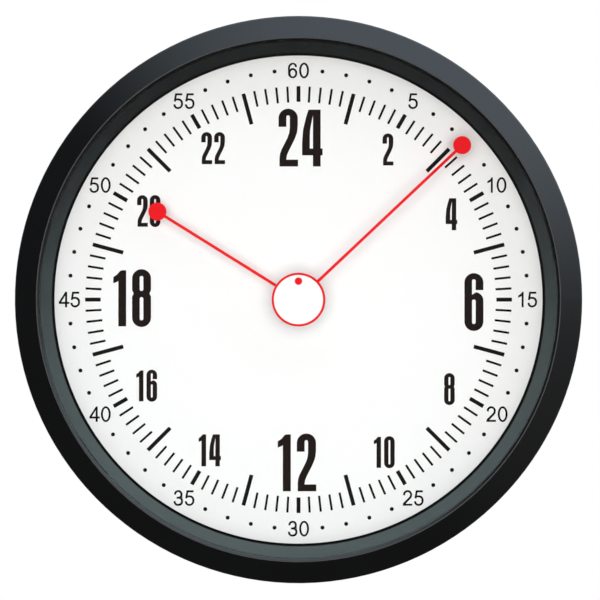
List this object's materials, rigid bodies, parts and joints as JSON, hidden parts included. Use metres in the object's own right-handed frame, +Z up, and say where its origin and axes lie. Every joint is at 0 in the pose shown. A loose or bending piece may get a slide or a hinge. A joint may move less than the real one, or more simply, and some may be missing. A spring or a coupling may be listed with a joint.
{
  "type": "wall clock",
  "caption": "Round 24-hour analogue wall clock: black rim, flat glass, white dial, thin red disc-tipped hands on a geared battery movement, keyhole hanger on the back.",
  "frame": {"origin": "the point where the hands' axis meets the wall, in the plane of the case's rear rim", "axes": "+Z up (towards 24 on the dial), -Y out of the wall towards the viewer (the dial's facing direction), +X to the viewer's right (towards 6 on the dial)"},
  "size_m": [0.3, 0.0434, 0.3],
  "materials": {
    "case_black": "satin moulded black",
    "ring_black": "polished black",
    "back_black": "fine spark texture",
    "glass": "clear flat mineral glass",
    "gasket": "soft black foam rubber",
    "dial_white": "matt white lacquer on aluminium",
    "hand_red": "red lacquer",
    "disc_white": "matt white",
    "zinc_steel": "bright zinc plate",
    "brass": "turned brass",
    "rubber": "moulded rubber",
    "box_black": "moulded black",
    "frame_natural": "natural acetal",
    "wheel_white": "natural acetal",
    "wheel_green": "coloured acetal",
    "magnet": "sintered ferrite",
    "iron": "annealed magnetic sheet",
    "copper": "enamelled copper wire",
    "board": "phenolic paper board",
    "tin": "bright drawn can",
    "epoxy": "black potting resin",
    "cell": "printed sleeve over a steel can",
    "spring": "nickel-plated spring steel"
  },
  "bodies": {
    "case": {"rear_case": "back_black", "front_bezel": "case_black", "lens": "glass", "lens_gasket": "gasket", "inner_ring": "ring_black", "dial_plate": "dial_white", "bezel_screws": "zinc_steel", "hanger_plate": "zinc_steel", "hanger_screws": "zinc_steel", "hex_nut": "brass", "brass_washer": "brass", "rubber_washer": "rubber", "threaded_neck": "brass", "movement_cover": "box_black", "movement_box": "box_black", "middle_plate": "frame_natural", "stator": "iron", "coil_core": "iron", "coil_bobbin": "wheel_green", "coil_winding": "copper", "coil_screws": "zinc_steel", "circuit_board": "board", "board_pegs": "box_black", "quartz_crystal": "tin", "chip_cover": "epoxy", "positive_contact": "spring", "negative_contact": "spring"},
    "minute_arbor": {"minute_hand": "hand_red", "minute_hand_bush": "brass", "minute_pipe": "wheel_white", "clutch_spring": "zinc_steel"},
    "hour_arbor": {"hour_hand": "hand_red", "hour_hand_collet": "brass", "hour_wheel": "wheel_white"},
    "seconds_arbor": {"seconds_disc": "disc_white", "seconds_disc_tube": "brass", "seconds_shaft": "zinc_steel", "second_wheel": "wheel_white"},
    "minute_wheel": {"minute_wheel": "wheel_white"},
    "centre_wheel": {"centre_wheel": "wheel_white"},
    "setting_knob": {"setting_knob": "frame_natural"},
    "third_wheel": {"third_wheel": "wheel_white"},
    "idler_wheel": {"idler_wheel": "wheel_green"},
    "rotor": {"rotor_pinion": "wheel_white", "rotor_magnet": "magnet"},
    "battery": {"battery": "cell"}
  },
  "joints": [
    {"name": "minute_turn", "type": "hinge", "parent": "case", "child": "minute_arbor", "pos_m": [0, -0.02, 0], "axis": [0, 1, 0], "continuous": true},
    {"name": "hour_turn", "type": "hinge", "parent": "case", "child": "hour_arbor", "pos_m": [0, -0.02, 0], "axis": [0, 1, 0], "continuous": true},
    {"name": "seconds_turn", "type": "hinge", "parent": "case", "child": "seconds_arbor", "pos_m": [0, -0.02, 0], "axis": [0, 1, 0], "continuous": true},
    {"name": "centre_wheel_turn", "type": "hinge", "parent": "case", "child": "centre_wheel", "pos_m": [0, -0.01, 0], "axis": [0, 1, 0], "continuous": true},
    {"name": "minute_wheel_turn", "type": "hinge", "parent": "case", "child": "minute_wheel", "pos_m": [0.00689, -0.014, 0.00579], "axis": [0, 1, 0], "continuous": true},
    {"name": "setting_knob_turn", "type": "hinge", "parent": "case", "child": "setting_knob", "pos_m": [0.01576, -0.008, 0.00422], "axis": [0, 1, 0], "continuous": true},
    {"name": "third_wheel_turn", "type": "hinge", "parent": "case", "child": "third_wheel", "pos_m": [-0.00653, -0.009, -0.00304], "axis": [0, 1, 0], "continuous": true},
    {"name": "idler_wheel_turn", "type": "hinge", "parent": "case", "child": "idler_wheel", "pos_m": [-0.00246, -0.008, 0.00677], "axis": [0, 1, 0], "continuous": true},
    {"name": "rotor_turn", "type": "hinge", "parent": "case", "child": "rotor", "pos_m": [-0.00344, -0.008, 0.01228], "axis": [0, 1, 0], "continuous": true},
    {"name": "battery_slide", "type": "slide", "parent": "case", "child": "battery", "axis": [0, 1, 0], "range_m": [0, 0.022]}
  ],
  "couplings": [
    {"joint": "hour_turn", "follows": "minute_turn", "ratio": 0.041667},
    {"joint": "minute_wheel_turn", "follows": "minute_turn", "ratio": -0.25},
    {"joint": "setting_knob_turn", "follows": "minute_turn", "ratio": 1},
    {"joint": "centre_wheel_turn", "follows": "seconds_turn", "ratio": 0.016667},
    {"joint": "third_wheel_turn", "follows": "seconds_turn", "ratio": -0.125},
    {"joint": "idler_wheel_turn", "follows": "seconds_turn", "ratio": -5},
    {"joint": "rotor_turn", "follows": "seconds_turn", "ratio": 30}
  ]
}
